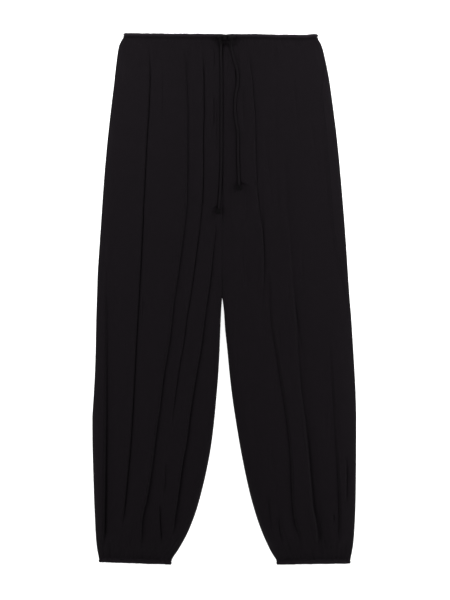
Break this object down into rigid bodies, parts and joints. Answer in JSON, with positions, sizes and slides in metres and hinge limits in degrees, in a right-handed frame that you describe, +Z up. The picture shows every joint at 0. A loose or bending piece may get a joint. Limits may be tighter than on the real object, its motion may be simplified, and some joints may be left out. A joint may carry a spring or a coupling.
{
  "type": "wide-leg pants",
  "caption": "Loose trousers laid flat, their wide legs gathered into narrow elastic casings at waist and hems, with a thin drawstring knotted at the front of the waist.",
  "frame": {"origin": "middle of the garment's outline, on the surface that it lies on", "axes": "+Y towards the waist, +X towards the wearer's left side, +Z up from the surface, out of the front"},
  "size_m": [0.516, 1.0398, 0.0242],
  "materials": {
    "crepe": "matt black crepe with a faint sheen",
    "casing": "matt black gathered crepe over elastic",
    "cord": "black braided cord"
  },
  "bodies": {
    "root": {"front_right": "crepe", "front_left": "crepe", "back_right": "crepe", "back_left": "crepe", "waist_casing": "casing", "hem_casing_right": "casing", "hem_casing_left": "casing", "drawstring_knot": "cord", "drawstring_tail_right": "cord", "drawstring_tail_left": "cord", "end_knot_right": "cord", "end_knot_left": "cord"}
  },
  "joints": []
}
